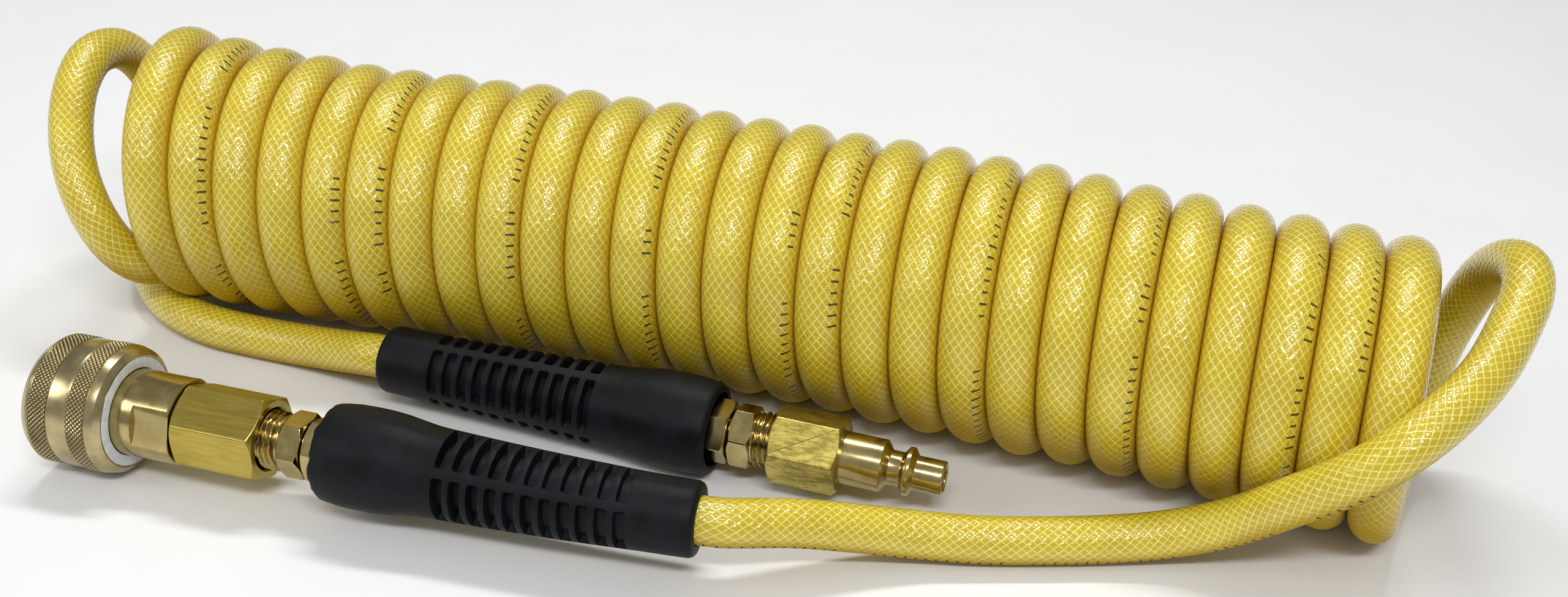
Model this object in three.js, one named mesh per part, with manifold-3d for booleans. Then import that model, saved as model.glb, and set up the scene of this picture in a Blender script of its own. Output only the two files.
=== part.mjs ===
// A coiled air hose: one length of braided polyurethane hose wound in a tight coil, with a quick-connect
// plug on one end and a quick coupler socket on the other.
// Millimetres, +Z up. It lies on the plane z = 0, +X runs along the coil, and -Y is its front.
import * as THREE from 'three';
import { mergeVertices } from 'three/addons/utils/BufferGeometryUtils.js';
import Module from 'manifold-3d';

const wasm = await Module();
wasm.setup();

// ---- driving dimensions ----
const HOSE_R = 5.25;            // outside radius of the hose
const HOSE_BORE_R = 3.5;        // inside radius where the hose end is drawn hollow
const GAP = 0.3;                // clearance between neighbouring solids

const COIL_R = 28.6;            // centre line radius of the coil
const COIL_PITCH = 11.4;        // advance per turn
const COIL_TURNS = 27;
const COIL_LIFT = 6.5;          // how far the left end is held up by the tail that passes under it
const COIL_LIFT_RUN = 66;       // length of coil over which that lift dies away

const RELIEF_LENGTH = 83.4;     // rubber bend restrictor
const RELIEF_BORE_R = HOSE_R + GAP;
const PLUG_AXIS_Z = 11.4;
const COUPLER_AXIS_Z = 14.7;
const SLEEVE_R = 14.7;

const THREAD_PITCH = 1.411;     // 1/4 in taper pipe thread, 18 turns per inch
const THREAD_R = 6.6;           // crest radius at the shoulder
const THREAD_TAPER = 1 / 32;    // loss of radius per unit of length
const THREAD_SHOW = 4.5;        // thread left showing when screwed home

const HEX_STEM = 13;            // across flats
const HEX_PLUG = 15.875;
const HEX_ADAPTER = 17.46;
const BODY_FLATS = 17.5;

const BALL_R = 2;
const BALL_COUNT = 4;
const BALL_CENTRE_R = 6.3;
const BALL_X = 60;

// ---- materials ----
const surface = (color, roughness, metalness) =>
  new THREE.MeshStandardMaterial({ color, roughness, metalness });
const YELLOW = surface(0xe8c22c, 0.25, 0);
const RUBBER = surface(0x15171b, 0.75, 0);
const BRASS = surface(0xb89b4e, 0.3, 1);
const STEEL = surface(0xa8a8a8, 0.3, 1);
const NYLON = surface(0xdfe2e4, 0.6, 0);
const SEAL = surface(0x1b1b1b, 0.8, 0);

// ---- solids ----
const toSolid = (geometry) => {
  const bare = geometry.clone();
  bare.deleteAttribute('normal');
  bare.deleteAttribute('uv');
  const merged = mergeVertices(bare, 1e-4);
  return new wasm.Manifold(new wasm.Mesh({
    numProp: 3,
    vertProperties: Float32Array.from(merged.attributes.position.array),
    triVerts: Uint32Array.from(merged.index.array),
  }));
};

const toGeometry = (solid) => {
  const { vertProperties, triVerts } = solid.getMesh();
  const geometry = new THREE.BufferGeometry();
  geometry.setAttribute('position', new THREE.BufferAttribute(vertProperties, 3));
  geometry.setIndex(new THREE.BufferAttribute(triVerts, 1));
  return geometry;
};

// A body of revolution about the local X axis. The outline is [x, radius] pairs, either a loop or a line
// that starts and ends on the axis.
const turned = (outline, segments = 24) => {
  const points = outline.map(([x, r]) => new THREE.Vector2(r, -x));
  if (THREE.ShapeUtils.area(points) < 0) {
    points.reverse();
  }
  if (points[0].x > 0) {
    points.push(points[0].clone());
  }
  return new THREE.LatheGeometry(points, segments).rotateZ(Math.PI / 2);
};

// The outline of a tube: its outside listed towards +X and its inside listed back towards -X.
const loop = (outside, inside) => [...outside, ...inside];

const hexagon = (acrossFlats, x0, x1) => {
  const corner = acrossFlats / Math.sqrt(3);
  const shape = new THREE.Shape();
  for (let i = 0; i < 6; i += 1) {
    const angle = (i * Math.PI) / 3 + Math.PI / 6;
    const point = [corner * Math.cos(angle), corner * Math.sin(angle)];
    if (i === 0) {
      shape.moveTo(...point);
    } else {
      shape.lineTo(...point);
    }
  }
  shape.closePath();
  const bar = new THREE.ExtrudeGeometry(shape, { depth: x1 - x0, bevelEnabled: false });
  return bar.rotateY(Math.PI / 2).translate(x0, 0, 0);
};

// A hexagon whose corners are turned off at the ends named by chamfer0 and chamfer1.
const chamferedHexagon = (acrossFlats, x0, x1, chamfer0, chamfer1) => {
  const corner = acrossFlats / Math.sqrt(3) + 0.05;
  const flat = acrossFlats / 2 - 0.1;
  const run = (corner - flat) * 0.6;
  const outline = [
    [x1 + 1, 0],
    [x1 + 1, chamfer1 ? flat - run : corner],
    [x1 - run, corner],
    [x0 + run, corner],
    [x0 - 1, chamfer0 ? flat - run : corner],
    [x0 - 1, 0],
  ];
  return toSolid(hexagon(acrossFlats, x0, x1)).intersect(toSolid(turned(outline, 24)));
};

// ---- the bend in the coupler's restrictor ----
const RELIEF_BEND_FROM = -30;
const RELIEF_BEND_R = 666;

// Where the bend takes a point of the local XY plane: round an arc towards -Y beyond RELIEF_BEND_FROM.
const bentPoint = (x, y) => {
  const angle = Math.max(0, RELIEF_BEND_FROM - x) / RELIEF_BEND_R;
  const reach = RELIEF_BEND_R + y;
  return [Math.max(x, RELIEF_BEND_FROM) - reach * Math.sin(angle), reach * Math.cos(angle) - RELIEF_BEND_R];
};

const bent = (geometry) => {
  const position = geometry.attributes.position;
  for (let i = 0; i < position.count; i += 1) {
    position.setXY(i, ...bentPoint(position.getX(i), position.getY(i)));
  }
  return geometry;
};

const straight = (geometry) => geometry;

// ---- hose ----
const UP = new THREE.Vector3(0, 0, 1);
const coilAxis = new THREE.QuadraticBezierCurve3(
  new THREE.Vector3(-159.5, -10, 0),
  new THREE.Vector3(-31.5, -19.5, 0),
  new THREE.Vector3(137.1, -87.6, 0),
);
const COIL_OUTER_R = COIL_R + HOSE_R;
const COIL_INNER_R = COIL_R - HOSE_R;

const coilLift = (s) => COIL_LIFT * Math.max(0, 1 - s / COIL_LIFT_RUN) ** 2;

// A point at s along the coil's axis, offset towards the front and up.
const besideCoil = (s, front, z) => {
  const length = coilAxis.getLength();
  const u = Math.min(Math.max(s / length, 0), 1);
  const along = coilAxis.getTangentAt(u);
  const point = coilAxis.getPointAt(u).addScaledVector(along, s - u * length);
  return new THREE.Vector3(point.x + front * along.y, point.y - front * along.x, z);
};

// A round section of twice halfSides sides, hollow if inner is over zero.
const ring = (outer, inner, halfSides) => {
  const shape = new THREE.Shape();
  shape.absarc(0, 0, outer, 0, 2 * Math.PI, false);
  if (inner > 0) {
    const hole = new THREE.Path();
    hole.absarc(0, 0, inner, 0, 2 * Math.PI, true);
    shape.holes.push(hole);
  }
  return { shape, halfSides };
};

// The part of a curve between two distances along it.
class Stretch extends THREE.Curve {
  constructor(curve, start, end) {
    super();
    const length = curve.getLength();
    Object.assign(this, { curve, from: start / length, share: (end - start) / length });
  }

  getPoint(t, target = new THREE.Vector3()) {
    return this.curve.getPointAt(Math.min(this.from + this.share * t, 1), target);
  }
}

const tube = (curve, start, end, step, section) => new THREE.ExtrudeGeometry(section.shape, {
  steps: Math.ceil((end - start) / step),
  extrudePath: new Stretch(curve, start, end),
  curveSegments: section.halfSides,
  bevelEnabled: false,
});

const hoseSection = ring(HOSE_R, 0, 5);

const coilSolid = () => {
  const centre = [];
  const first = 1.4 * COIL_PITCH;
  const last = COIL_PITCH * (COIL_TURNS - 0.5);
  const stations = 18;
  for (let i = 0; i <= stations; i += 1) {
    const s = first + ((last - first) * i) / stations;
    centre.push(besideCoil(s, 0, COIL_OUTER_R + coilLift(s)));
  }
  const curve = new THREE.CatmullRomCurve3(centre);
  return tube(curve, 0, curve.getLength(), 18, ring(COIL_OUTER_R, COIL_INNER_R, 12));
};

const COIL_END = COIL_PITCH * COIL_TURNS;
const listed = (points) => points.map((point) => new THREE.Vector3(...point));

// The slack turn at the left, and the short tail that runs under it to the plug.
const PLUG_RIM = new THREE.Vector3(-14, -80.7, PLUG_AXIS_Z);
const PLUG_HEADING = THREE.MathUtils.degToRad(-16.6);
const plugEntry = (x) => new THREE.Vector3(x, 0, 0).applyAxisAngle(UP, PLUG_HEADING).add(PLUG_RIM);
const leftRun = new THREE.CatmullRomCurve3([
  ...listed([
    [-159.4, -9, 13],
    [-158.9, -18.5, 15.2],
    [-159.7, -27.5, 18.2],
    [-161.6, -33.8, 22],
    [-165.2, -37, 28],
    [-169.3, -36.3, 35],
    [-173.7, -32, 43.3],
    [-177, -24.5, 51.3],
    [-178.7, -14, 59.3],
    [-178, -3.5, 63.8],
    [-175.8, 8, 61.7],
    [-173.6, 17, 53],
    [-172, 20.8, 41],
    [-171, 20.2, 28],
    [-170.5, 14.5, 16],
    [-170.6, 6, 8.6],
    [-170.3, -3, 5.8],
    [-168, -12, 5.3],
    [-163.5, -19.8, 5.3],
    [-157.5, -26.9, 5.3],
    [-150.5, -32.5, 5.3],
    [-143, -36.4, 5.3],
    [-135, -39, 5.3],
    [-127.5, -41.2, 5.4],
    [-117.5, -44.9, 6.4],
    [-106.4, -50.6, 8.9],
  ]),
  plugEntry(-RELIEF_LENGTH - 4),
  plugEntry(-RELIEF_LENGTH),
]);
const LEFT_LOOP_POINTS = 18;

// The slack turn at the right, and the long tail that runs back along the front to the coupler.
const COUPLER_RIM = new THREE.Vector3(-96.7, -100.1, COUPLER_AXIS_Z);
const COUPLER_HEADING = THREE.MathUtils.degToRad(165.8);
const couplerEntry = (x) => new THREE.Vector3(...bentPoint(x, 0), 0)
  .applyAxisAngle(UP, COUPLER_HEADING).add(COUPLER_RIM);
const rightRun = new THREE.CatmullRomCurve3([
  besideCoil(COIL_END, 1, 5.4),
  besideCoil(COIL_END + 0.8, -11, 7.8),
  besideCoil(COIL_END + 2, -21, 15),
  ...listed([
    [152.5, -63, 33.5],
    [154.3, -69.5, 53.3],
    [154.6, -78.3, 62],
    [154.2, -87.5, 65],
    [152.4, -94, 63.4],
    [148.5, -100.5, 59.6],
    [141.3, -110, 54],
    [130.8, -118.9, 48],
    [122.1, -122.9, 42.3],
    [115, -121.7, 35],
    [106.2, -117, 25.2],
    [95.6, -109.6, 12.9],
    [84, -106.9, 7.2],
    [71, -107.2, 5.5],
    [57.7, -108.3, 5.3],
    [44.4, -109.2, 5.5],
    [31.2, -109.9, 6.6],
    [18.7, -111.8, 9],
    [4.7, -115, 12.2],
  ]),
  couplerEntry(-RELIEF_LENGTH - 4),
  couplerEntry(-RELIEF_LENGTH),
]);
const RIGHT_LOOP_POINTS = 13;

// The distance along a run to one of its listed points.
const distanceTo = (run, index) => {
  const parts = 200;
  const lengths = run.getLengths(parts * (run.points.length - 1));
  return lengths[parts * index];
};

const runTubes = (run, loopPoints) => {
  const split = distanceTo(run, loopPoints - 1);
  return {
    slack: tube(run, 0, split - GAP / 2, 9, hoseSection),
    tail: tube(run, split + GAP / 2, run.getLength() - GAP, 11, hoseSection),
  };
};

// ---- parts shared by both ends, in a frame whose +X points out of the fitting, x = 0 at the rubber's rim ----
const RELIEF_WINDOWS = 11;
const RELIEF_RIB_PITCH = 3.9;
const RELIEF_RIB_WIDTH = 1.35;
const RELIEF_RIBS_FROM = -28;
const RELIEF_CORE_R = 6.9;
const RELIEF_BULB_R = 11.3;

const reliefOuterR = (x) => 9.7 + (1.35 * (x - RELIEF_RIBS_FROM)) / 42;

const bendRestrictor = (roll) => {
  const sides = 16;
  const ribsTo = RELIEF_RIBS_FROM - RELIEF_WINDOWS * RELIEF_RIB_PITCH + RELIEF_RIB_WIDTH;
  const body = turned(loop(
    [
      [-RELIEF_LENGTH, 7.3],
      [-RELIEF_LENGTH + 0.8, 8],
      [ribsTo, 8.3],
      [ribsTo, RELIEF_CORE_R],
      [RELIEF_RIBS_FROM, RELIEF_CORE_R],
      [RELIEF_RIBS_FROM, 9.7],
      [-23, 10],
      [-16, 11],
      [-9, RELIEF_BULB_R],
      [-2, 10.8],
      [0, 9.9],
    ],
    [
      [0, 8.7],
      [-5, 8.7],
      [-5, 7.9],
      [-24.5, 7.9],
      [-26, RELIEF_BORE_R],
      [-42, RELIEF_BORE_R + 0.04],
      [-56, RELIEF_BORE_R + 0.06],
      [-70, RELIEF_BORE_R + 0.04],
      [-RELIEF_LENGTH, RELIEF_BORE_R],
    ],
  ), sides);
  let solid = toSolid(body);
  for (let i = 1; i < RELIEF_WINDOWS; i += 1) {
    const x = RELIEF_RIBS_FROM - i * RELIEF_RIB_PITCH;
    const outer = reliefOuterR(x);
    const rib = turned(loop(
      [[x, outer], [x + RELIEF_RIB_WIDTH, outer]],
      [[x + RELIEF_RIB_WIDTH, RELIEF_CORE_R - 0.4], [x, RELIEF_CORE_R - 0.4]],
    ), sides);
    solid = solid.add(toSolid(rib));
  }
  for (let i = 0; i < 4; i += 1) {
    const height = 2.6;
    const spine = new THREE.BoxGeometry(RELIEF_RIBS_FROM - ribsTo + 0.8, 1.8, height);
    spine.translate((RELIEF_RIBS_FROM + ribsTo) / 2, 0, RELIEF_CORE_R - 0.6 + height / 2);
    solid = solid.add(toSolid(spine.rotateX((i * Math.PI) / 2 + roll)));
  }
  return toGeometry(solid);
};

const BARB_END = -24;
const hoseEnd = () => {
  const stations = [-4, -30, -42, -56, -70, -RELIEF_LENGTH];
  return turned(loop(
    stations.map((x) => [x, HOSE_R]).reverse(),
    stations.map((x) => [x, HOSE_BORE_R]),
  ), 16);
};

const crimpFerrule = () => turned(loop(
  [[-22, 6.6], [-21.5, 7.2], [-16, 7.2], [-15.5, 6.8], [-13, 6.8], [-12.5, 7.2], [-4, 7.2]],
  [[-4, HOSE_R + GAP], [-22, HOSE_R + GAP]],
), 16);

const SPIGOT_R = 4.2;
const STEM_BORE_R = 2;
const hoseStem = () => {
  const barbs = [];
  for (let x = BARB_END; x < -8; x += 5) {
    barbs.push([x, 2.6], [x + 3.2, 3.15], [x + 3.3, 2.8]);
  }
  const shaft = turned(loop(
    [
      ...barbs,
      [-3.4, 2.8],
      [-3.4, 5],
      [4.1, 5],
      [4.1, SPIGOT_R],
      [6.5, SPIGOT_R],
      [6.5, 3.2],
      [7.9, 3.2],
      [7.9, SPIGOT_R],
      [9.6, SPIGOT_R],
      [9.6, 3],
      [11.4, 3],
      [11.4, SPIGOT_R],
      [13, SPIGOT_R],
    ],
    [[13, STEM_BORE_R], [BARB_END, STEM_BORE_R]],
  ), 16);
  const bore = turned([[5, 0], [5, STEM_BORE_R + 0.5], [-4, STEM_BORE_R + 0.5], [-4, 0]], 16);
  const shoulder = chamferedHexagon(HEX_STEM, -3.4, 3.9, false, true).subtract(toSolid(bore));
  return toGeometry(toSolid(shaft).add(shoulder));
};

const swivelRetainer = () => turned([[7.6, 4.9], [6.8, 4.9], [6.8, 3.5], [7.6, 3.5]], 16);

const stemORing = () => new THREE.TorusGeometry(3.75, 0.5, 6, 16).rotateY(Math.PI / 2).translate(10.5, 0, 0);

const HEX2_FROM = 4.4;
const HEX2_TO = 9.7;
const THREAD_END = 24.7;
const threadR = (x) => THREAD_R - (x - HEX2_TO) * THREAD_TAPER;

const swivel = () => {
  const ridges = [];
  for (let x = HEX2_TO + 0.9; x < HEX2_TO + THREAD_SHOW - 0.8; x += THREAD_PITCH) {
    ridges.push([x, threadR(x) - 0.9], [x + 0.55, threadR(x)], [x + 0.85, threadR(x)]);
  }
  const shank = turned(loop(
    [
      [HEX2_FROM + 0.3, 6],
      [HEX2_TO, 6],
      ...ridges,
      [HEX2_TO + THREAD_SHOW, threadR(HEX2_TO + THREAD_SHOW) - 0.9],
      [HEX2_TO + THREAD_SHOW + 0.6, threadR(HEX2_TO + THREAD_SHOW)],
      [THREAD_END - 1, threadR(THREAD_END - 1)],
      [THREAD_END, threadR(THREAD_END) - 0.8],
    ],
    [
      [THREAD_END, 3],
      [13.6, 3],
      [13.6, 4.5],
      [8, 4.5],
      [8, 5.2],
      [6.4, 5.2],
      [6.4, 4.5],
      [HEX2_FROM + 0.3, 4.5],
    ],
  ), 20);
  const hole = turned([[HEX2_TO + 1, 0], [HEX2_TO + 1, 5.6], [HEX2_FROM - 1, 5.6], [HEX2_FROM - 1, 0]], 20);
  const nut = chamferedHexagon(HEX_STEM, HEX2_FROM, HEX2_TO, true, true).subtract(toSolid(hole));
  return toGeometry(toSolid(shank).add(nut));
};

// The female taper thread that takes the swivel's male one, drawn plain with clearance.
const SOCKET_FROM = HEX2_TO + THREAD_SHOW;
const threadSocket = () => turned([
  [THREAD_END + 1, 0],
  [THREAD_END + 1, threadR(THREAD_END + 1) + GAP],
  [SOCKET_FROM, threadR(SOCKET_FROM) + GAP],
  [SOCKET_FROM - 1, threadR(SOCKET_FROM) + GAP],
  [SOCKET_FROM - 1, 0],
], 20);

// ---- plug ----
const PLUG_HEX_TO = SOCKET_FROM + 15.9;
const PLUG_TIP = PLUG_HEX_TO + 23.3;
const PLUG_BORE_R = 2.8;
const PLUG_TURN = -0.25;        // how far the plug is turned about its own axis

const quickPlug = () => {
  const nose = turned([
    [PLUG_TIP, 0],
    [PLUG_TIP, 3.6],
    [PLUG_TIP - 0.4, 3.92],
    [PLUG_TIP - 6.5, 3.92],
    [PLUG_TIP - 7.6, 5.5],
    [PLUG_TIP - 8.6, 5.5],
    [PLUG_TIP - 9.7, 3.95],
    [PLUG_TIP - 12.4, 3.95],
    [PLUG_TIP - 13.9, 5.95],
    [PLUG_HEX_TO - 1, 5.95],
    [PLUG_HEX_TO - 1, 0],
  ], 28);
  const bore = turned([
    [PLUG_TIP + 1, 0],
    [PLUG_TIP + 1, PLUG_BORE_R],
    [THREAD_END + 4, PLUG_BORE_R],
    [THREAD_END, PLUG_BORE_R + 3],
    [THREAD_END, 0],
  ], 24);
  const body = chamferedHexagon(HEX_PLUG, SOCKET_FROM, PLUG_HEX_TO, true, true).add(toSolid(nose));
  return toGeometry(body.subtract(toSolid(threadSocket())).subtract(toSolid(bore)));
};

// ---- coupler ----
const ADAPTER_TO = SOCKET_FROM + 19.9;
const BODY_FROM = ADAPTER_TO + GAP;
const BODY_STUB_R = 7.6;
const NOSE = 66.8;
const BODY_R = 9.8;
const BARREL_R = 8.15;
const SPRING_SHOULDER = 50;
const SLEEVE_FROM = 48;
const SLEEVE_TO = 67.3;
const LAND_R = 8.65;
const LAND_FROM = 57.8;
const SOCKET_R = 6.15;
const COUPLER_TURN = 0.31;      // how far the coupler is turned about its own axis
const ADAPTER_TURN = 0.19;      // and the adapter in it

const couplerAdapter = () => {
  const stubHole = turned([
    [ADAPTER_TO + 1, 0],
    [ADAPTER_TO + 1, BODY_STUB_R + GAP],
    [THREAD_END + 3, BODY_STUB_R + GAP],
    [THREAD_END + 3, 5],
    [THREAD_END, 5],
    [THREAD_END, 0],
  ], 24);
  const bar = chamferedHexagon(HEX_ADAPTER, SOCKET_FROM, ADAPTER_TO, true, true);
  return toGeometry(bar.subtract(toSolid(threadSocket())).subtract(toSolid(stubHole)));
};

const couplerBody = () => {
  const lathe = turned(loop(
    [
      [THREAD_END + 3 + GAP, BODY_STUB_R],
      [BODY_FROM, BODY_STUB_R],
      [BODY_FROM, BODY_R],
      [SPRING_SHOULDER, BODY_R],
      [SPRING_SHOULDER, BARREL_R],
      [63.1, BARREL_R],
      [63.1, 7.4],
      [64.7, 7.4],
      [64.7, BARREL_R],
      [NOSE - 0.5, BARREL_R],
      [NOSE, BARREL_R - 0.5],
    ],
    [
      [NOSE, SOCKET_R + 0.4],
      [NOSE - 0.4, SOCKET_R],
      [55.2, SOCKET_R],
      [55.2, 5.6],
      [54.6, 5.6],
      [54.6, 6.8],
      [52.2, 6.8],
      [52.2, 4.3],
      [50.5, 4.3],
      [50.5, 6.2],
      [36, 6.2],
      [36, 4],
      [THREAD_END + 3 + GAP, 4],
    ],
  ), 32);
  let solid = toSolid(lathe);
  for (let i = 0; i < BALL_COUNT / 2; i += 1) {
    const hole = new THREE.CylinderGeometry(BALL_R + 0.2, BALL_R + 0.2, 2 * BODY_R, 16);
    solid = solid.subtract(toSolid(hole.rotateX((i * Math.PI) / 2 + Math.PI / 4).translate(BALL_X, 0, 0)));
  }
  for (const side of [-1, 1]) {
    const cutter = new THREE.BoxGeometry(8.6, 6, 30);
    cutter.translate(BODY_FROM + 4.4, side * (BODY_FLATS / 2 + 3), 0);
    solid = solid.subtract(toSolid(cutter));
  }
  return toGeometry(solid);
};

const lockSleeve = () => turned(loop(
  [
    [SLEEVE_FROM, 12.9],
    [SLEEVE_FROM + 1.2, 14.1],
    [SLEEVE_FROM + 3.2, SLEEVE_R],
    [SLEEVE_FROM + 7.8, SLEEVE_R],
    [SLEEVE_FROM + 8.1, 14.4],
    [SLEEVE_FROM + 12.4, 14.4],
    [SLEEVE_FROM + 12.7, SLEEVE_R],
    [SLEEVE_TO - 1.9, SLEEVE_R],
    [SLEEVE_TO, 13.4],
  ],
  [
    [SLEEVE_TO, 10.6],
    [SLEEVE_TO - 0.4, 10.2],
    [63.1, 10.2],
    [BALL_X + 0.3, LAND_R],
    [LAND_FROM, LAND_R],
    [LAND_FROM, 12.5],
    [SLEEVE_FROM, 12.5],
  ],
), 36);

const dustRing = () => turned([[49.6, 12.2], [48.3, 12.2], [48.3, 10.15], [49.6, 10.15]], 32);

const sleeveClip = () => turned([[64.4, 9.9], [63.4, 9.9], [63.4, 7.7], [64.4, 7.7]], 28);

const socketSeal = () => turned([[54.3, 6.4], [52.5, 6.4], [52.5, 4.6], [53, 4.2], [54.3, 4.6]], 24);

const valvePoppet = () => turned([
  [51.6, 0],
  [51.6, 3.2],
  [51.2, 3.6],
  [49.2, 3.6],
  [49.2, 5.7],
  [47.6, 5.7],
  [47, 2.4],
  [42, 2.4],
  [42, 0],
], 24);

const valveSeal = () => turned([[50.2, 5.6], [49.5, 5.6], [49.5, 3.9], [50.2, 3.9]], 24);

const lockBall = (angle) => {
  const ball = new THREE.SphereGeometry(BALL_R, 10, 7);
  return ball.rotateX(Math.PI / 2).translate(BALL_X, 0, BALL_CENTRE_R).rotateX(angle);
};

class Helix extends THREE.Curve {
  constructor(x0, x1, radius, turns) {
    super();
    Object.assign(this, { x0, x1, radius, turns });
  }

  getPoint(t, target = new THREE.Vector3()) {
    const angle = 2 * Math.PI * this.turns * t;
    return target.set(
      this.x0 + (this.x1 - this.x0) * t,
      this.radius * Math.cos(angle),
      this.radius * Math.sin(angle),
    );
  }
}

const spring = (x0, x1, radius, wireR, turns) => new THREE.ExtrudeGeometry(ring(wireR, 0, 3).shape, {
  steps: turns * 12,
  extrudePath: new Helix(x0 + wireR, x1 - wireR, radius, turns),
  curveSegments: 3,
  bevelEnabled: false,
});

// ---- assembly ----
const object = new THREE.Group();
const layout = new THREE.Group();
object.add(layout);

const place = (parent, name, geometry, material) => {
  const mesh = new THREE.Mesh(geometry, material);
  mesh.name = name;
  parent.add(mesh);
};

const plugRun = runTubes(leftRun, LEFT_LOOP_POINTS);
const couplerRun = runTubes(rightRun, RIGHT_LOOP_POINTS);
place(layout, 'hose_coil', coilSolid(), YELLOW);
place(layout, 'hose_left_loop', plugRun.slack, YELLOW);
place(layout, 'hose_plug_tail', plugRun.tail, YELLOW);
place(layout, 'hose_right_loop', couplerRun.slack, YELLOW);
place(layout, 'hose_coupler_tail', couplerRun.tail, YELLOW);

// Everything that both ends have. shape bends the rubber and the hose in it, where they bend, and turns
// says how far the rubber, the stem and the swivel are turned about the axis.
const placeEnd = (side, rim, heading, turns, shape) => {
  const frame = new THREE.Group();
  frame.position.copy(rim);
  frame.rotation.z = heading;
  layout.add(frame);
  place(frame, `bend_restrictor_${side}`, shape(bendRestrictor(turns.rubber)), RUBBER);
  place(frame, `hose_end_${side}`, shape(hoseEnd()), YELLOW);
  place(frame, `crimp_ferrule_${side}`, crimpFerrule(), BRASS);
  place(frame, `hose_stem_${side}`, hoseStem().rotateX(turns.stem), BRASS);
  place(frame, `swivel_retainer_${side}`, swivelRetainer(), STEEL);
  place(frame, `stem_o_ring_${side}`, stemORing(), SEAL);
  place(frame, `swivel_${side}`, swivel().rotateX(turns.swivel), BRASS);
  return frame;
};

const plugEnd = placeEnd('plug', PLUG_RIM, PLUG_HEADING, { rubber: 0.3, stem: 0.06, swivel: -0.35 }, straight);
const couplerEnd = placeEnd('coupler', COUPLER_RIM, COUPLER_HEADING, { rubber: -0.9, stem: 0.4, swivel: 0.1 }, bent);
const coupler = new THREE.Group();
coupler.rotation.x = COUPLER_TURN;
couplerEnd.add(coupler);

place(plugEnd, 'quick_plug', quickPlug().rotateX(PLUG_TURN), BRASS);

place(coupler, 'coupler_adapter', couplerAdapter().rotateX(ADAPTER_TURN), BRASS);
place(coupler, 'coupler_body', couplerBody(), BRASS);
place(coupler, 'lock_sleeve', lockSleeve(), BRASS);
place(coupler, 'dust_ring', dustRing(), NYLON);
place(coupler, 'sleeve_clip', sleeveClip(), STEEL);
place(coupler, 'sleeve_spring', spring(SPRING_SHOULDER + GAP, 53.9, 9.2, 0.45, 3), STEEL);
place(coupler, 'socket_seal', socketSeal(), SEAL);
place(coupler, 'valve_poppet', valvePoppet(), BRASS);
place(coupler, 'valve_seal', valveSeal(), SEAL);
place(coupler, 'valve_spring', spring(36 + GAP, 42.6, 4.4, 0.45, 5), STEEL);
for (let i = 0; i < BALL_COUNT; i += 1) {
  const angle = (i * 2 * Math.PI) / BALL_COUNT + Math.PI / 4;
  place(coupler, `lock_ball_${i + 1}`, lockBall(angle), STEEL);
}

// The origin is the middle of the footprint, on the ground.
const extent = new THREE.Box3().setFromObject(object, true);
const middle = extent.getCenter(new THREE.Vector3());
layout.position.set(-middle.x, -middle.y, -extent.min.z);

export default object;
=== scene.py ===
"""Looks for a coiled air hose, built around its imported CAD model.

Sizes are in millimetres in the layout frame of the part's source, and become metres in the row frame when a
mesh is made. A fitting's own frame has +X out of the fitting and x = 0 at the rim of its rubber.
"""

import math

import bmesh  # noqa: E402
import bpy  # noqa: E402
import numpy as np  # noqa: E402
from mathutils import Matrix, Vector  # noqa: E402


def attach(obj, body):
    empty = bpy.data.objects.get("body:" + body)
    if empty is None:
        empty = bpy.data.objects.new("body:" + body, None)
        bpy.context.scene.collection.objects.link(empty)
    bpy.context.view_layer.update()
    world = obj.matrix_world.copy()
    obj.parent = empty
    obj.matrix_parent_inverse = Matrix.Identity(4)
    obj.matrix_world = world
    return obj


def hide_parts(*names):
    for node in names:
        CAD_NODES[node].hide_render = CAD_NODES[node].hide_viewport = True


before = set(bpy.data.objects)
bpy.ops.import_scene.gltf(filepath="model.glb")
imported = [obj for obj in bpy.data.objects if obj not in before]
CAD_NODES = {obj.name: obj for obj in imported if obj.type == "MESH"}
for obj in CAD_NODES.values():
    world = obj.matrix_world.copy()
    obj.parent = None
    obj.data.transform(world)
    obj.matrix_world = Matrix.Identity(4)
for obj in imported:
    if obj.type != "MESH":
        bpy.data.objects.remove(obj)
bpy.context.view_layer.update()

MM = 0.001
LAYOUT_ORIGIN = np.array([12.118, 50.923, 0.025])  # the layout frame's origin in the row frame

# ---- hose and coil ----
HOSE_DIAMETER = 10.5
COIL_R = 28.6
COIL_PITCH = 11.4
COIL_TURNS = 27
COIL_END = COIL_PITCH * COIL_TURNS
COIL_AXIS_Z = 33.85
COIL_LIFT, COIL_LIFT_RUN = 6.5, 66.0  # the left end stands this much higher
RADIUS_WAVES = (0.22, 0.71, 1), (0.16, 2.3, 0)  # each one's height, radians per turn and start
AXIS_CONTROL = np.array([[-159.5, -10.0], [-31.5, -19.5], [137.1, -87.6]])

# ---- the two ends ----
RELIEF_LENGTH = 83.4
PLUG_RIM, PLUG_HEADING = np.array([-14.0, -80.7, 11.4]), math.radians(-16.6)
COUPLER_RIM, COUPLER_HEADING = np.array([-96.7, -100.1, 14.7]), math.radians(165.8)
PLUG_TURN = -0.25  # this and the next two are radians about the fitting's own axis
COUPLER_TURN = 0.31
ADAPTER_TURN = 0.19  # beyond the coupler's
RELIEF_BEND_FROM = -30.0
RELIEF_BEND_R = 666.0
HOSE_STOP = -4.0  # where the hose ends against its stem


# ---- camera ----
CAMERA_DISTANCE = 446.344
CAMERA_ELEVATION, CAMERA_ROLL = 0.524587, 0.0441466  # radians
SENSOR_WIDTH, LENS = 36, 37.273
CLIP_START, CLIP_END = 0.01, 50  # metres


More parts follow.
